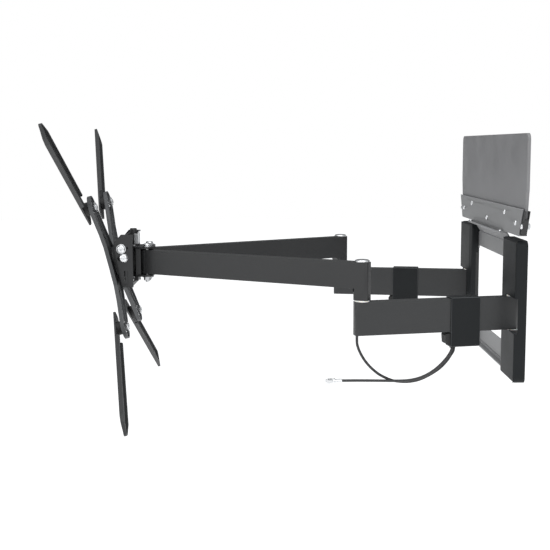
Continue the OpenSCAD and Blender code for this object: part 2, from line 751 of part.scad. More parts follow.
module tilt_plate() {
    color("#26282a") screen_frame() difference() {
        union() {
            layer(tilt_y, tilt_y + tilt_t) translate([0, -4]) round_rect(2*ear_x, 58, 6);
            bar_y(boss_r, cross_y, tilt_y + 1);
            for (side = [-1, 1]) on_side(side) translate([ear_x - 3, 0, 0])
                rotate([90, 0, 90]) linear_extrude(3) {
                    polygon([[tilt_y, -33], [tilt_y, 25], [bolt_y + 2, pivot_v + 9],
                        [bolt_y + 1, lock_v - 8], [tilt_y + 3, -33]]);
                    translate([bolt_y, pivot_v]) circle(9);
                    translate([bolt_y, lock_v]) circle(7.4);
                }
        }
        translate([0, bolt_y, pivot_v]) bar_x(tilt_bolt_r + run_gap, -60, 60);
        translate([0, bolt_y, lock_v]) bar_x(tilt_bolt_r + fix_gap, -60, 60);
        bar_y(3.02, cross_y - eps, 20);
    }
}

module tilt_lock_bolts() {
    color("#dfe1e3") screen_frame() for (side = [-1, 1]) on_side(side)
        translate([0, bolt_y, lock_v]) {
            bar_x(tilt_bolt_r, ear_x - 6, cheek_x + cheek_t + face_gap);
            bar_x(6.4, cheek_x + cheek_t + face_gap, cheek_x + cheek_t + 1.2);
            translate([cheek_x + cheek_t + 1.2, 0, 0]) button_x(6, 3.4);
        }
}

// The wide washer and screw that hold the cross plate on the tilting plate
module level_cap() {
    color("#b4b6b8") screen_frame() {
        bar_y(17, cross_y - 1.6, cross_y - face_gap);
        bar_y(3, cross_y - face_gap, 20);
        translate([0, cross_y - 1.6, 0]) rotate([90, 0, 0]) cylinder(r1 = 6.5, r2 = 4.5, h = 3);
    }
}

// ---------- cross plate and extension arms ----------

// The outline of the upper right quarter: the waist, the side, the round end and the notch on top
tip_from = -35;
tip_to = 142;
tip_step = 11.8;
quarter = concat([[56, 0], [57, 28], [66, 48.3]],
    [for (a = [tip_from:tip_step:tip_to]) [bolt_x + tip_r*cos(a), bolt_v + tip_r*sin(a)]],
    [[4, 26.5], [0, 24.5]]);
last = len(quarter) - 1;
cross_points = concat(quarter,
    [for (i = [last - 1:-1:0]) [-quarter[i][0], quarter[i][1]]],
    [for (i = [1:last]) [-quarter[i][0], -quarter[i][1]]],
    [for (i = [last - 1:-1:1]) [quarter[i][0], -quarter[i][1]]]);

// A closed outline moved inwards by a distance
function out_of(a, b) = [b[1] - a[1], a[0] - b[0]]/norm(b - a);
function inset(points, by) = [for (i = [0:len(points) - 1])
    let (n = len(points), at = points[i],
        p = out_of(points[(i + n - 1)%n], at), q = out_of(at, points[(i + 1)%n]))
    at - by*(p + q)/(1 + p*q)];

// From the screen's middle to each of the four bolts, with x along the extension arm
module at_bolts(swing = true) {
    for (x = [0, 1], z = [0, 1]) mirror([x, 0, 0]) mirror([0, 0, z])
        translate([bolt_x, 0, bolt_v]) rotate([0, swing ? -ext_angle : 0, 0]) children();
}

module cross_plate() {
    color("#4a4c4e") screen_frame() difference() {
        union() {
            layer(cross_face, cross_face + cross_t) polygon(cross_points);
            // The edge is pressed over towards the wall all the way round
            layer(cross_face, cross_lip) difference() {
                polygon(cross_points);
                polygon(inset(cross_points, 2));
            }
            // The middle is raised in a round step
            bar_y(hub_r, cross_face, cross_y + cross_t);
            // A raised rib in the shape of a drop round each bolt
            at_bolts(false) layer(cross_face + cross_t - 0.1, cross_face + cross_t + 1.5)
                rotate(180 + atan2(bolt_v, bolt_x)) difference() {
                    drop(12.8, 3.4, 60);
                    drop(10.4, 1.2, 58);
                }
        }
        bar_y(hub_r - 2, cross_face - eps, cross_y);
        bar_y(boss_r + run_gap, cross_y - eps, 20);
        at_bolts(false) bar_y(4.1, cross_face - eps, cross_lip + eps);
        for (x = [-50, 50], z = [-50, 50]) translate([x, 0, z]) bar_y(2.75, cross_face - eps, cross_lip + eps);
    }
}

// The outline of an extension arm drawn in by an inset: x runs along it from its bolt
module extension_outline(by) {
    half = ext_w/2;
    polygon(inset([[-24, -half], [ext_len - 22, -half], [ext_len - 12, -half + 3], [ext_len - 4, half - 9],
        [ext_len, half - 6], [ext_len, half - 3], [ext_len - 3, half], [-24, half],
        [-28.3, half - 5], [-28.3, -half + 5]], by));
}

// A narrow tray with a pointed tip and a screw hole for each of two screen patterns
module extension_arm() {
    lip_from = tip_r + 3;
    difference() {
        union() {
            layer(0, ext_t) extension_outline(0);
            // The edge, pressed over towards the wall, is lowest at the point
            intersection() {
                layer(0, ext_flange) difference() {
                    extension_outline(0);
                    extension_outline(2);
                }
                translate([0, 0, -ext_w]) linear_extrude(2*ext_w)
                    polygon([[lip_from, 0], [lip_from, ext_flange - 1.5], [lip_from + 1.5, ext_flange],
                        [ext_len - 20, ext_flange], [ext_len - 8, ext_flange - 1.5],
                        [ext_len + 1, 3.4], [ext_len + 1, 0]]);
            }
        }
        bar_y(4.1, -eps, ext_t + eps);
        // The countersink for the bolt's flush head
        translate([0, 2.4, 0]) rotate([90, 0, 0]) cylinder(r1 = 4.1, r2 = 8.9, h = 2.9);
        for (pattern = [0.75*vesa, vesa]) translate([norm([pattern/2 - bolt_x, pattern/2 - bolt_v]), 0, 0])
            bar_y(vesa_r, -eps, ext_t + eps);
    }
}

module extension_arms() {
    color("#3a3c3e") screen_frame() at_bolts() translate([0, ext_y, 0]) extension_arm();
}

module arm_spacers() {
    color("#101112") screen_frame() at_bolts() difference() {
        bar_y(9.6, ext_y + ext_t, cross_face);
        bar_y(4.1, ext_y, 20);
    }
}

module arm_bolts() {
    color("#c9cbcd") screen_frame() at_bolts() difference() {
        union() {
            bar_y(4, ext_y + 1, cross_face + cross_t + 7.5);
            translate([0, ext_y + 2.3, 0]) rotate([90, 0, 0]) cylinder(r1 = 4, r2 = 7.8, h = 2.3);
        }
        translate([0, ext_y + 1.8, 0]) rotate([90, 0, 0]) cylinder(r = 2.9, h = 3, $fn = 6);
    }
}

module arm_nuts() {
    base = cross_face + cross_t;
    color("#d4d6d8") screen_frame() at_bolts() difference() {
        union() {
            bar_y(8, base, base + 1.3);
            translate([0, base + 1.3, 0]) rotate([-90, 0, 0]) cylinder(r = 7.2, h = 5, $fn = 6);
        }
        bar_y(4.02, base - eps, 25);
    }
}

right_upright();
left_upright();
right_upright_cover();
left_upright_cover();
top_crossbar();
bottom_crossbar();
crossbar_rivets();
wall_pivot_pins();
wall_pivot_washers();
antenna_bracket();
antenna_base();
antenna_panel();
antenna_screws();
antenna_nuts();
bracket_screws();
right_rear_arm();
left_rear_arm();
right_elbow_pin();
left_elbow_pin();
right_elbow_washer();
left_elbow_washer();
right_cable_clip();
left_cable_clip();
right_clip_liner();
left_clip_liner();
coax_loop();
coax_lead();
coax_connector();
right_forearm();
left_forearm();
head_yoke();
head_pivot_bolts();
head_pivot_washers();
head_pivot_nuts();
swivel_pin();
swivel_cap();
swivel_bracket();
cap_guard();
tilt_pivot_bolts();
tilt_plate();
tilt_lock_bolts();
level_cap();
cross_plate();
extension_arms();
arm_spacers();
arm_bolts();
arm_nuts();
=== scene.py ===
import math

import bmesh
import bpy
from mathutils import Matrix, Vector
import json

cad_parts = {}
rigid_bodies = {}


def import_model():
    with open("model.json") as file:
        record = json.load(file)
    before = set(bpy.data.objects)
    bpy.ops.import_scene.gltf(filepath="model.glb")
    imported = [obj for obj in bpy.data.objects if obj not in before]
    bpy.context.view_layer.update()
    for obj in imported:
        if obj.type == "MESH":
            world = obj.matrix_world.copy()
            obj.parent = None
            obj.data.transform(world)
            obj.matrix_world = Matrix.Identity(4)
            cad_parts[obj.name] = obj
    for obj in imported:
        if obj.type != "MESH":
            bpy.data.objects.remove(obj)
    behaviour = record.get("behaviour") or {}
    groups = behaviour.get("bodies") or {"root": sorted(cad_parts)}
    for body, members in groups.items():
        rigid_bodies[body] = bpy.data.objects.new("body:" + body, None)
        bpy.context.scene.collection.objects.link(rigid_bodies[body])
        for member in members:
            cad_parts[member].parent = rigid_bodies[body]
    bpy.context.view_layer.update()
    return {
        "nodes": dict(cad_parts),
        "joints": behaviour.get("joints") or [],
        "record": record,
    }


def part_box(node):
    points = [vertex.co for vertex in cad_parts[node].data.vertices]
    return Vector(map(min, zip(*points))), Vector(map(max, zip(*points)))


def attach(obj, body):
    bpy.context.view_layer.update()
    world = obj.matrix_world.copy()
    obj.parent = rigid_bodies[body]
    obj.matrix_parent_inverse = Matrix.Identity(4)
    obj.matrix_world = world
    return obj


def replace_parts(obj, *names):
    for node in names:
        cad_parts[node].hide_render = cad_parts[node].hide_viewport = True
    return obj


for old in list(bpy.data.objects):
    bpy.data.objects.remove(old)
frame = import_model()

JOINT_AT = {joint["name"]: Vector(joint["pos_m"]) for joint in frame["joints"]}
MM = 0.001

# ---------- camera ----------

CAMERA_AT = Vector((1.494, -0.3436, 0.2192))
CAMERA_LENS = 66.11
CAMERA_YAW, CAMERA_PITCH, CAMERA_ROLL = (math.radians(a) for a in (0.576, 7.265, -0.252))


def add_camera():
    """A level look along -X, then turned towards +Y, tipped down and rolled."""
    ahead, right, up = Vector((-1, 0, 0)), Vector((0, 1, 0)), Vector((0, 0, 1))

    def turned(a, b, angle):
        return (math.cos(angle) * a + math.sin(angle) * b, math.cos(angle) * b - math.sin(angle) * a)

    ahead, right = turned(ahead, right, CAMERA_YAW)
    up, ahead = turned(up, ahead, CAMERA_PITCH)
    right, up = turned(right, up, CAMERA_ROLL)
    data = bpy.data.cameras.new("camera")
    data.lens, data.sensor_width = CAMERA_LENS, 36
    camera = bpy.data.objects.new("camera", data)
    bpy.context.collection.objects.link(camera)
    axes = Matrix((right, up, -ahead)).transposed().to_4x4()
    camera.matrix_world = Matrix.Translation(CAMERA_AT) @ axes
    bpy.context.scene.camera = camera


add_camera()

# ---------- materials ----------


class Nodes:
    """A short way to build a node material round one Principled shader."""

    def __init__(self, name):
        self.material = bpy.data.materials.new(name)
        self.material.use_nodes = True
        self.tree = self.material.node_tree
        self.shader = next(n for n in self.tree.nodes if n.type == "BSDF_PRINCIPLED")
        self.coords = self.add("ShaderNodeTexCoord").outputs["Object"]

    def add(self, kind, **values):
        node = self.tree.nodes.new(kind)
        for key, value in values.items():
            if key in node.inputs:
                self.put(node.inputs[key], value)
            else:
                setattr(node, key, value)
        return node

    def put(self, socket, value):
        if isinstance(value, bpy.types.NodeSocket):
            self.tree.links.new(value, socket)
        else:
            socket.default_value = value

    def stretched(self, scale):
        mapping = self.add("ShaderNodeMapping")
        self.put(mapping.inputs["Vector"], self.coords)
        mapping.inputs["Scale"].default_value = scale
        return mapping.outputs["Vector"]

    def noise(self, scale, detail=2.0, vector=None):
        node = self.add("ShaderNodeTexNoise", Scale=scale, Detail=detail)
        self.put(node.inputs["Vector"], vector or self.coords)
        return node.outputs["Fac"]

    def span(self, value, low, high, start=0.3, end=0.7):
        node = self.add("ShaderNodeMapRange")
        self.put(node.inputs["Value"], value)
        for key, number in (("From Min", start), ("From Max", end), ("To Min", low), ("To Max", high)):
            node.inputs[key].default_value = number
        return node.outputs["Result"]

    def between(self, factor, first, second):
        node = self.add("ShaderNodeMix", data_type="RGBA")
        self.put(node.inputs["Factor"], factor)
        node.inputs["A"].default_value = (*first, 1)
        node.inputs["B"].default_value = (*second, 1)
        return node.outputs["Result"]

    def total(self, *values):
        result = values[0]
        for value in values[1:]:
            node = self.add("ShaderNodeMath", operation="ADD")
            self.put(node.inputs[0], result)
            self.put(node.inputs[1], value)
            result = node.outputs[0]
        return result

    def raised(self, height, depth):
        node = self.add("ShaderNodeBump")
        node.inputs["Strength"].default_value = 1
        node.inputs["Distance"].default_value = depth
        self.put(node.inputs["Height"], height)
        self.put(self.shader.inputs["Normal"], node.outputs["Normal"])

    def set(self, **values):
        for key, value in values.items():
            self.put(self.shader.inputs[key.replace("_", " ")], value)
        return self.material


def tint(colour, factor):
    return tuple(min(1.0, c * factor) for c in colour)


def powder_coat(name, colour, rough, contrast=0.14, depth=0.00004):
    """Sprayed satin paint: a fine orange peel, small specks and a broad, faint mottle."""
    n = Nodes(name)
    peel, speck, broad = n.noise(520, 3), n.noise(2600, 2), n.noise(14, 3)
    mix = n.total(n.span(broad, 0, 0.45), n.span(speck, 0, 0.55))
    n.set(Base_Color=n.between(mix, tint(colour, 1 - contrast), tint(colour, 1 + contrast)),
          Roughness=n.total(n.span(peel, rough - 0.05, rough + 0.04), n.span(broad, 0, 0.05)))
    n.raised(n.total(n.span(peel, 0, 0.8), n.span(speck, 0, 0.3)), depth)
    return n.material


def moulded(name, colour, rough, scale=1500, depth=0.00005, contrast=0.1, **more):
    """Moulded plastic or rubber with a fine spark-eroded texture."""
    n = Nodes(name)
    cells = n.add("ShaderNodeTexVoronoi", Scale=scale)
    n.put(cells.inputs["Vector"], n.coords)
    broad = n.noise(22, 3)
    pits = cells.outputs["Distance"]
    n.set(Base_Color=n.between(n.span(broad, 0, 1), tint(colour, 1 - contrast), tint(colour, 1 + contrast)),
          Roughness=n.total(n.span(pits, rough - 0.04, rough + 0.05, 0, 1), n.span(broad, 0, 0.05)), **more)
    n.raised(n.total(n.span(pits, 0, 1, 0, 1), n.span(n.noise(700, 3), 0, 0.5)), depth)
    return n.material


def plated(name, colour, rough, streak=(60, 60, 900), contrast=0.1):
    """Plated steel with faint machining streaks and a slightly cloudy tone."""
    n = Nodes(name)
    lines, cloud = n.noise(1.0, 3, n.stretched(streak)), n.noise(120, 3)
    n.set(Base_Color=n.between(n.span(cloud, 0, 1), tint(colour, 1 - contrast), colour), Metallic=1.0,
          Roughness=n.total(n.span(lines, rough - 0.06, rough + 0.06), n.span(cloud, 0, 0.06)))
    n.raised(lines, 0.00002)
    return n.material


SATIN_BLACK = (0.0185, 0.0194, 0.0202)
HEAD_BLACK = (0.0130, 0.0135, 0.0142)
MATERIALS = {
    "black_steel": powder_coat("black_steel", SATIN_BLACK, 0.44),
    "dark_steel": powder_coat("dark_steel", HEAD_BLACK, 0.42),
    "grey_steel": powder_coat("grey_steel", (0.185, 0.187, 0.190), 0.46, 0.08),
    "cover_plastic": moulded("cover_plastic", (0.0080, 0.0094, 0.0104), 0.50, Specular_IOR_Level=0.2),
    "black_plastic": moulded("black_plastic", (0.010, 0.010, 0.011), 0.40),
    "panel_plastic": moulded("panel_plastic", (0.165, 0.165, 0.170), 0.42, 2200, 0.00002),
    "white_nylon": moulded("white_nylon", (0.74, 0.74, 0.71), 0.36, 900, 0.00002, 0.05,
                           Subsurface_Weight=0.15, Subsurface_Scale=0.002),
    "zinc": plated("zinc", (0.60, 0.61, 0.62), 0.30),
    "bright_screw": plated("bright_screw", (0.78, 0.79, 0.80), 0.18),
    "black_rubber": moulded("black_rubber", (0.007, 0.007, 0.007), 0.62, 1100, 0.00006),
    "cable_jacket": moulded("cable_jacket", (0.018, 0.018, 0.019), 0.36, 1800, 0.00003),
}
# Painted highlight: the bevelled edges get a lighter colour than the faces, and a lower roughness
EDGES = {
    "black_steel": powder_coat("black_steel_edge_highlight", tint(SATIN_BLACK, 3.6), 0.30, 0.3),
    "dark_steel": powder_coat("dark_steel_edge_highlight", tint(HEAD_BLACK, 1.9), 0.28, 0.3),
    "grey_steel": powder_coat("grey_steel_edge_highlight", (0.33, 0.33, 0.34), 0.34, 0.15),
    "cover_plastic": moulded("cover_plastic_edge_highlight", (0.030, 0.033, 0.036), 0.40),
    "panel_plastic": moulded("panel_plastic_edge_highlight", (0.24, 0.24, 0.25), 0.34, 2200, 0.00002),
}
# Painted light: the cross plate shares the tubes' black paint, and is given a lighter colour for the light
# its broad faces catch
PAINTED_LIGHT = {"cross_plate": powder_coat("cross_plate_painted_light", tint(SATIN_BLACK, 2.4), 0.40)}
SLOT_OF = {row["node"]: row["material_slot"] for row in frame["record"]["subparts"]}
EDGE_WIDTH = {"right_upright_cover": 0.9, "left_upright_cover": 0.9, "right_cable_clip": 0.7,
              "left_cable_clip": 0.7, "right_rear_arm": 0.8, "left_rear_arm": 0.8,
              "right_forearm": 0.9, "left_forearm": 0.9, "antenna_panel": 0.8}


def dress_nodes():
    """Each CAD node gets its slot's material, and small soft edges where it is pressed or moulded, coloured
    lighter as a painted highlight.
    """
    for node, obj in frame["nodes"].items():
        slot = SLOT_OF[node]
        obj.data.materials.clear()
        # The cross plate takes its lighter colour here, as painted light
        obj.data.materials.append(PAINTED_LIGHT.get(node, MATERIALS[slot]))
        if slot not in EDGES:
            continue
        obj.data.materials.append(EDGES[slot])
        obj.modifiers.new("join", "WELD").merge_threshold = 1e-6
        bevel = obj.modifiers.new("edges", "BEVEL")
        bevel.width = EDGE_WIDTH.get(node, 0.35) * MM
        bevel.segments, bevel.limit_method, bevel.angle_limit = 2, "ANGLE", math.radians(50)
        # The bevel faces take the second material, a lighter colour that paints a highlight along the edges
        bevel.material, bevel.harden_normals = 1, True


dress_nodes()

# ---------- mesh helpers ----------


def add_piece(name, mesh, slot, body):
    obj = bpy.data.objects.new(name, mesh)
    bpy.context.collection.objects.link(obj)
    mesh.materials.append(MATERIALS[slot])
    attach(obj, body) or obj
    return obj


def rings_to_mesh(bm, rings, close_first=True, close_last=True):
    """Joins rings of equally many points into a skin."""
    rows = [[bm.verts.new(p) for p in ring] for ring in rings]
    for low, high in zip(rows, rows[1:]):
        count = len(low)
        for i in range(count):
            j = (i + 1) % count
            bm.faces.new((low[i], low[j], high[j], high[i]))
    if close_first:
        bm.faces.new(rows[0][::-1])
    if close_last:
        bm.faces.new(rows[-1])


SIDES = 48


def ring(radius, height, flats=0, sides=SIDES, dip=0.0, flat_r=None):
    """A ring round +z. With flats it is a hexagon, whose corners may dip as a chamfer does."""
    points = []
    for i in range(sides):
        angle = 2 * math.pi * i / sides
        r, z = radius, height
        if flats:
            share = math.pi / flats
            r = radius / math.cos((angle + share) % (2 * share) - share)
            z = height - dip * max(0.0, r - (flat_r or radius))
        points.append(Vector((r * math.cos(angle), r * math.sin(angle), z)))
    return points


def stack(profile):
    """Rings for (radius, height) pairs, in mm; a third word, the number of flats, makes a hexagon."""
    return [ring(p[0] * MM, p[1] * MM, *(p[2:3] or (0,))) for p in profile]


def thread(radius, low, high, pitch):
    """The ridges of a screw thread as (radius, height) pairs, in mm."""
    rows, z = [], low
    while z + pitch <= high:
        rows += [(radius * 0.86, z), (radius * 0.86, z + 0.2 * pitch), (radius, z + 0.5 * pitch),
                 (radius, z + 0.7 * pitch)]
        z += pitch
    return rows + [(radius * 0.8, high)]


def dome(radius, base, height, socket_r, depth):
    """A button head with a rounded rim and a hexagon socket, as (radius, height) pairs in mm."""
    rows = [(radius * 0.93, base), (radius, base + 0.08 * height)]
    for k in range(9):
        angle = math.radians(8 + 9.2 * k)
        rows.append((radius * (0.50 + 0.50 * math.cos(angle)),
                     base + height * (0.18 + 0.82 * math.sin(angle))))
    top = base + height
    rows += [(socket_r * 1.22, top), (socket_r * 1.02, top - 0.25, 6), (socket_r, top - 0.5, 6),
             (socket_r, top - depth, 6), (socket_r * 0.5, top - depth - 0.4)]
    return rows


def place(bm, matrix, build):
    """Builds into a fresh mesh, moves it and adds it to bm."""
    part = bmesh.new()
    build(part)
    bmesh.ops.transform(part, matrix=matrix, verts=part.verts)
    mesh = bpy.data.meshes.new("part")
    part.to_mesh(mesh)
    part.free()
    bm.from_mesh(mesh)
    bpy.data.meshes.remove(mesh)


def finish_mesh(name, slot, body, bm, sharp_angle):
    """Turns a built shape into a smooth shaded piece that rides a body."""
    bmesh.ops.recalc_face_normals(bm, faces=bm.faces)
    mesh = bpy.data.meshes.new(name)
    bm.to_mesh(mesh)
    bm.free()
    mesh.shade_smooth()
    mesh.set_sharp_from_angle(angle=math.radians(sharp_angle))
    return add_piece(name, mesh, slot, body)


def turned_piece(name, slot, body, places, rings, hollow=False):
    """One turned or hexagonal shape at several places, as one piece. A hollow one is a closed ring."""
    bm = bmesh.new()
    skin = rings + rings[:1] * hollow
    for matrix in places:
        place(bm, matrix, lambda part: rings_to_mesh(part, skin, not hollow, not hollow))
    if hollow:
        bmesh.ops.remove_doubles(bm, verts=bm.verts, dist=1e-6)
    return finish_mesh(name, slot, body, bm, 34)


def facing(point, direction):
    """A matrix that puts +z along direction at a point."""
    return Matrix.Translation(point) @ Vector(direction).to_track_quat("Z", "Y").to_matrix().to_4x4()


# ---------- coax cables ----------

wall_pivot, elbow = JOINT_AT["right_arm_fold"], JOINT_AT["right_elbow"]
along = (elbow - wall_pivot).normalized()
REAR_ARM = Matrix.Translation(wall_pivot) @ Matrix.Rotation(math.atan2(along.y, along.x), 4, "Z")
CABLE_D = 0.0036
# Distance from the wall pivot, sideways offset and height
LOOP_ROUTE = [(.082, -.002, -.0473), (.082, -.002, -.051), (.083, -.002, -.0555), (.086, -.002, -.060),
              (.0905, -.002, -.0665), (.098, -.002, -.0745), (.106, -.002, -.0805), (.116, -.002, -.086),
              (.128, -.002, -.091), (.138, -.002, -.0932), (.148, -.002, -.0938), (.158, -.002, -.093),
              (.168, -.002, -.0908), (.1775, -.002, -.0868), (.1875, -.002, -.081), (.198, -.002, -.072),
              (.2065, -.002, -.062), (.213, -.002, -.051), (.2168, -.002, -.041), (.2175, -.002, -.034),
              (.2175, -.002, -.027)]
LEAD_ROUTE = [(.0865, .002, -.0473), (.0865, .002, -.051), (.088, .002, -.055), (.0915, .002, -.0605),
              (.096, .002, -.066), (.1055, .002, -.075), (.116, .002, -.082), (.127, .002, -.087),
              (.139, .002, -.090), (.152, .002, -.091), (.168, .002, -.0905), (.184, .002, -.0895),
              (.200, .002, -.0885), (.214, .002, -.0877), (.228, .002, -.087), (.239, .002, -.0865)]


def smooth(route, steps=6):
    """A Catmull-Rom curve through the route's points."""
    points = [Vector(p) for p in route]
    padded = [points[0], *points, points[-1]]
    curve = []
    for i in range(len(points) - 1):
        a, b, c, d = padded[i:i + 4]
        for k in range(steps):
            t = k / steps
            curve.append(0.5 * (2 * b + (c - a) * t + (2 * a - 5 * b + 4 * c - d) * t * t
                                + (3 * b - a - 3 * c + d) * t ** 3))
    return curve + [points[-1]]


def add_cable(name, node, route):
    path = [REAR_ARM @ p for p in smooth(route)]
    data = bpy.data.curves.new(name, "CURVE")
    data.dimensions, data.bevel_depth, data.bevel_resolution = "3D", CABLE_D / 2, 6
    data.use_fill_caps = True
    spline = data.splines.new("POLY")
    spline.points.add(len(path) - 1)
    for point, p in zip(spline.points, path):
        point.co = (*p, 1)
    spline.use_smooth = True
    data.materials.append(MATERIALS["cable_jacket"])
    cable = bpy.data.objects.new(name, data)
    bpy.context.collection.objects.link(cable)
    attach(cable, "right_rear")
    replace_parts(cable, node)
    return cable


def add_connector():
    """A crimped coax plug: a ribbed sleeve, a waist and a knurled nut round a bare pin."""
    profile = [(1.9, 0.0), (2.5, 0.25)]
    z = 0.6
    while z < 8.4:
        profile += [(2.6, z), (2.6, z + 0.7), (2.3, z + 0.95), (2.3, z + 1.25)]
        z += 1.5
    profile += [(2.6, 9.0), (3.5, 9.2), (3.6, 9.5), (3.6, 10.6), (3.1, 10.9), (3.1, 12.6), (3.4, 13.0)]
    rings = stack(profile)
    flat = 3.4
    for height, radius in ((13.8, flat - 0.2), (14.2, flat), (20.6, flat), (21.1, flat - 0.2)):
        rings.append(ring(radius * MM, height * MM, 6))
    rings += stack([(2.75, 21.9), (2.35, 21.9), (2.2, 21.6), (2.2, 16.5), (0.6, 16.4), (0.5, 16.6),
                    (0.5, 21.6), (0.25, 21.95)])
    end = REAR_ARM @ Vector(LEAD_ROUTE[-1])
    plug = turned_piece("coax_plug", "bright_screw", "right_rear", [facing(end, along)], rings)
    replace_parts(plug, "coax_connector")
    return plug


connector = add_connector()
add_cable("coax_cable_loop", "coax_loop", LOOP_ROUTE)
add_cable("coax_cable_lead", "coax_lead", LEAD_ROUTE)

# ---------- bolts, nuts and washers ----------

TILT_AT = JOINT_AT["screen_tilt"]
LEAN = math.radians(13.7)
SCREEN_UP = Vector((0, -math.sin(LEAN), math.cos(LEAN)))
HEAD_PIVOTS = [Matrix.Translation((side * JOINT_AT["head_facing"].x, JOINT_AT["head_facing"].y, 0))
               for side in (1, -1)]
CHEEK_OUT = 45.0     # outer face of the cheeks
LOCK_DROP = 13.5     # from the tilt pivot down to the lock bolt


def add_cheek_bolts():
    low = 34.0 - CHEEK_OUT
    for name, node, body, at, washer in (
            ("pivot_screws", "tilt_pivot_bolts", "swivel", TILT_AT, 6.9),
            ("lock_screws", "tilt_lock_bolts", "tilt", TILT_AT - LOCK_DROP * MM * SCREEN_UP, 6.3)):
        rows = thread(3.85, low, -3.4, 1.1)[:-1]
        rows += [(3.85, -3.2), (3.85, 0.1), (washer - 0.15, 0.12), (washer, 0.3), (washer, 1.05),
                 (washer - 0.2, 1.2), (6.0, 1.2)]
        rows += dome(6.0, 1.2, 3.4, 2.45, 2.1)
        places = [facing(Vector((side * CHEEK_OUT * MM, at.y, at.z)), (side, 0, 0)) for side in (1, -1)]
        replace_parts(turned_piece(name, "bright_screw", body, places, stack(rows)), node)


add_cheek_bolts()


def add_head_pivot_bolts():
    """Two long bolts through the yoke: a domed head on top, a thread under the nut."""
    low, high = (v.z / MM for v in map(Vector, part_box("head_pivot_bolts")))
    seat = high - 3.8
    rows = thread(2.95, low, low + 9, 0.9)[:-1]
    rows += [(2.95, low + 9.2), (2.95, seat - 0.05), (5.5, seat), (5.6, seat + 0.3), (5.6, seat + 1.2)]
    rows += dome(5.4, seat + 1.2, 2.5, 2.0, 1.4)
    bolts = turned_piece("yoke_bolts", "bright_screw", "yoke", HEAD_PIVOTS, stack(rows))
    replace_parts(bolts, "head_pivot_bolts")


add_head_pivot_bolts()


def nut_rings(flat_r, bore_r, low, high):
    """A chamfered hexagon nut with a bore, from outside in."""
    rings = [ring(bore_r * MM, (low + 0.4) * MM), ring((bore_r + 0.4) * MM, low * MM)]
    for height, dip in ((low, -0.55), (high, 0.55)):
        rings.append(ring(flat_r * 0.97 * MM, height * MM))
        rings.append(ring(flat_r * MM, height * MM, 6, dip=dip, flat_r=flat_r * 0.98 * MM))
        if height == low:
            continue
        rings[-2], rings[-1] = rings[-1], rings[-2]
    rings += [ring((bore_r + 0.4) * MM, high * MM), ring(bore_r * MM, (high - 0.4) * MM)]
    return rings


def add_nuts(name, node, slot, body, places, flat_r, bore_r, low, high, washer=()):
    """Hexagon nuts, with a round washer below each if one is given."""
    shapes = [nut_rings(flat_r, bore_r, low, high)] + ([stack(washer)] if washer else [])
    bm = bmesh.new()
    for rings in shapes:
        for matrix in places:
            place(bm, matrix, lambda part: rings_to_mesh(part, rings + rings[:1], False, False))
    bmesh.ops.remove_doubles(bm, verts=bm.verts, dist=1e-6)
    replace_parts(finish_mesh(name, slot, body, bm, 25), node)


nut_low, nut_high = (Vector(v).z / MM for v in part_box("head_pivot_nuts"))
add_nuts("yoke_nuts", "head_pivot_nuts", "zinc", "yoke", HEAD_PIVOTS, 4.65, 2.95, nut_low, nut_high)

# ---------- screws of the antenna and its bracket ----------

SCREW_PLACES = [(-172, 118), (-110, 128.5), (0, 113), (110, 128.5), (172, 118)]
END_PLACES = [(-198.2, 115), (198.2, 115)]
FORWARD = (0, -1, 0)


def turned_group(name, slot, body, groups):
    """Several turned shapes, each at its own places, as one piece."""
    bm = bmesh.new()
    for places, rings in groups:
        for matrix in places:
            place(bm, matrix, lambda part: rings_to_mesh(part, rings))
    return finish_mesh(name, slot, body, bm, 34)


def at_mm(x, y, z):
    return Vector((x, y, z)) * MM


def add_antenna_screws():
    short = [(1.0, -1.6), (1.6, -1.3), (1.6, -0.05), (3.3, 0)] + dome(3.6, 0, 2.0, 1.3, 1.0)
    long = [(1.4, -10.7)] + thread(2.0, -10.4, -5.2, 0.8)[:-1] + [(2.0, -5), (2.0, -0.05), (3.3, 0)]
    long += dome(3.6, 0, 2.0, 1.3, 1.0)
    groups = [([facing(at_mm(x, -13.5, z), FORWARD) for x, z in SCREW_PLACES], stack(short)),
              ([facing(at_mm(x, -11.9, z), FORWARD) for x, z in END_PLACES], stack(long))]
    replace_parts(turned_group("panel_screws", "bright_screw", "wall_plate", groups), "antenna_screws")
    add_nuts("panel_nuts", "antenna_nuts", "zinc", "wall_plate",
             [facing(at_mm(x, -1.8, z), FORWARD) for x, z in END_PLACES], 3.63, 2.02, 0, 3.1)
    down = [(1.5, 98.5), (1.5, 101.3), (2.8, 101.4)] + dome(2.9, 101.4, 1.6, 1.0, 0.8)
    places = [Matrix.Translation(at_mm(x, -17, 0)) for x in (-100, 100)]
    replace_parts(turned_group("flange_screws", "bright_screw", "wall_plate", [(places, stack(down))]),
                "bracket_screws")


add_antenna_screws()

# ---------- screen arm bolts ----------

SCREEN_AT = JOINT_AT["screen_level"]
TO_WALL = SCREEN_UP.cross(Vector((1, 0, 0)))
ARM_BOLT_X, ARM_BOLT_UP = 73.1, 87.3     # from the middle of the cross plate


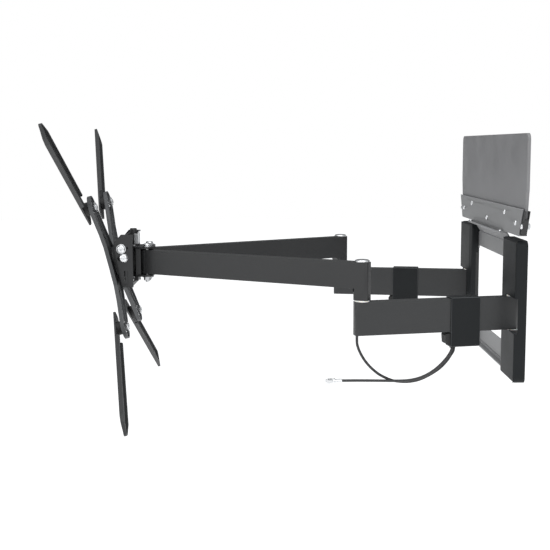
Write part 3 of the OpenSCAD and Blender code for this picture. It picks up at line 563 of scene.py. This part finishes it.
def add_arm_bolts():
    """Countersunk bolts with a socket on the screen side, flanged nuts on the wall side."""
    places = [facing(SCREEN_AT + at_mm(x, 0, 0) + z * MM * SCREEN_UP, TO_WALL)
              for x in (-ARM_BOLT_X, ARM_BOLT_X) for z in (-ARM_BOLT_UP, ARM_BOLT_UP)]
    rows = [(1.6, -2.3), (2.5, -2.3, 6), (2.6, -4.05, 6), (3.4, -4.15), (7.6, -4.15), (7.8, -3.95),
            (4.1, -1.85), (4.0, -1.6), (4.0, 8)]
    rows += thread(4.0, 8.2, 15.8, 1.25)[:-1] + [(3.4, 16), (0.8, 16)]
    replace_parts(turned_group("arm_screws", "bright_screw", "screen", [(places, stack(rows))]), "arm_bolts")
    washer = [(4.3, 8.5), (7.8, 8.5), (8.0, 8.7), (8.0, 9.5), (7.8, 9.7), (4.3, 9.8)]
    add_nuts("arm_hex_nuts", "arm_nuts", "bright_screw", "screen", places, 6.24, 4.02, 9.8, 14.8, washer)


add_arm_bolts()

# ---------- elbow caps ----------


def add_elbow_pins():
    """A plain pin under a broad plated cap with a soft rim and a shallow dish in its top."""
    top = 69.5
    rows = [(3.5, -9.9), (4.0, -9.4), (4.0, top + 0.05), (9.2, top + 0.1), (9.7, top + 0.4), (9.8, top + 0.9)]
    for k in range(8):
        angle = math.radians(12 * k)
        rows.append((5.6 + 4.2 * math.cos(angle), top + 1.2 + 2.2 * math.sin(angle)))
    rows += [(5.0, top + 3.35), (4.2, top + 3.1), (3.0, top + 2.95), (1.0, top + 2.9)]
    for name in ("right", "left"):
        at = JOINT_AT[f"{name}_elbow"]
        pin = turned_piece(f"{name}_elbow_cap", "bright_screw", f"{name}_rear",
                           [Matrix.Translation((at.x, at.y, 0))], stack(rows))
        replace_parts(pin, f"{name}_elbow_pin")


add_elbow_pins()

# ---------- small trim pieces ----------


def box_strip(bm, low, high, soft):
    """A strip with softened long corners between two corner points, in mm."""
    verts = bmesh.ops.create_cube(bm, size=1)["verts"]
    size, mid = [b - a for a, b in zip(low, high)], [(a + b) / 2 for a, b in zip(low, high)]
    for vert in verts:
        vert.co = Vector([(c * s + m) * MM for c, s, m in zip(vert.co, size, mid)])
    edges = {edge for vert in verts for edge in vert.link_edges}
    bmesh.ops.bevel(bm, geom=list(edges), offset=soft * MM, segments=3, profile=0.6, affect="EDGES")


def add_cover_seams():
    """A rubber strip in the seam beside the outer edge of each cover, above and below the arm."""
    for side, name in ((1, "right"), (-1, "left")):
        bm = bmesh.new()
        for low, high in ((-94.6, -28.4), (18.9, 94.6)):
            x = sorted((side * 183.45, side * 184.95))
            box_strip(bm, (x[0], -15.35, low), (x[1], -14.65, high), 0.25)
        finish_mesh(f"{name}_cover_seal", "black_rubber", "wall_plate", bm, 40)


add_cover_seams()


def add_cable_grommets():
    """Soft collars where the two cables leave the bottom of the clip."""
    outer = [(1.9, 0.2), (1.9, -1.4), (2.3, -1.9), (2.9, -1.9), (3.2, -1.5), (3.2, -0.4), (3.7, 0.0),
             (3.7, 0.2)]
    for name, start in (("loop", LOOP_ROUTE[0]), ("lead", LEAD_ROUTE[0])):
        at = Matrix.Translation(REAR_ARM @ Vector(start))
        turned_piece(f"{name}_grommet", "black_rubber", "right_rear", [at], stack(outer), hollow=True)


add_cable_grommets()

# ---------- stage ----------

FLOOR_Z = -0.9


def add_stage():
    """A white studio: the camera sees plain white, and the light comes mostly from above and in front."""
    world = bpy.data.worlds.new("studio")
    bpy.context.scene.world = world
    world.use_nodes = True
    tree = world.node_tree
    tree.nodes.clear()

    def add(kind, **inputs):
        node = tree.nodes.new(kind)
        for key, value in inputs.items():
            node.inputs[key].default_value = value
        return node

    out, mix = add("ShaderNodeOutputWorld"), add("ShaderNodeMixShader")
    seen, lit = add("ShaderNodeBackground", Strength=1.0), add("ShaderNodeBackground")
    seen.inputs["Color"].default_value, lit.inputs["Color"].default_value = (1, 1, 1, 1), (0.97, 0.985, 1, 1)
    sky = tree.nodes.new("ShaderNodeVectorMath")
    sky.operation = "DOT_PRODUCT"
    sky.inputs[1].default_value = (0.62, 0.05, 0.62)
    strength = tree.nodes.new("ShaderNodeMapRange")
    for key, value in (("From Min", -0.75), ("From Max", 0.8), ("To Min", 0.06), ("To Max", 0.85)):
        strength.inputs[key].default_value = value
    tree.links.new(add("ShaderNodeTexCoord").outputs["Generated"], sky.inputs[0])
    tree.links.new(sky.outputs["Value"], strength.inputs["Value"])
    tree.links.new(strength.outputs["Result"], lit.inputs["Strength"])
    tree.links.new(add("ShaderNodeLightPath").outputs["Is Camera Ray"], mix.inputs["Fac"])
    tree.links.new(lit.outputs[0], mix.inputs[1])
    tree.links.new(seen.outputs[0], mix.inputs[2])
    tree.links.new(mix.outputs[0], out.inputs["Surface"])

    for name, at, size, power in (("above", (0.5, -0.3, 1.6), 1.6, 15), ("left", (1.1, -1.8, 0.7), 1.2, 9),
                                  ("right", (1.7, 0.5, 0.8), 1.2, 6)):
        data = bpy.data.lights.new(name, "AREA")
        data.size, data.energy = size, power
        light = bpy.data.objects.new(name, data)
        bpy.context.collection.objects.link(light)
        light.matrix_world = facing(Vector(at), Vector(at) - Vector((0, -0.3, 0.05)))

    bm = bmesh.new()
    bmesh.ops.create_grid(bm, x_segments=8, y_segments=8, size=14)
    mesh = bpy.data.meshes.new("floor")
    bm.to_mesh(mesh)
    bm.free()
    floor = bpy.data.objects.new("floor", mesh)
    bpy.context.collection.objects.link(floor)
    floor.location.z = FLOOR_Z
    n = Nodes("floor_paint")
    n.set(Base_Color=n.between(n.span(n.noise(2, 2), 0, 1), (0.96, 0.96, 0.96), (0.97, 0.97, 0.97)),
          Roughness=0.9, Emission_Color=(1, 1, 1, 1), Emission_Strength=0.5)
    mesh.materials.append(n.material)


add_stage()
bpy.context.scene.view_settings.view_transform = "Standard"
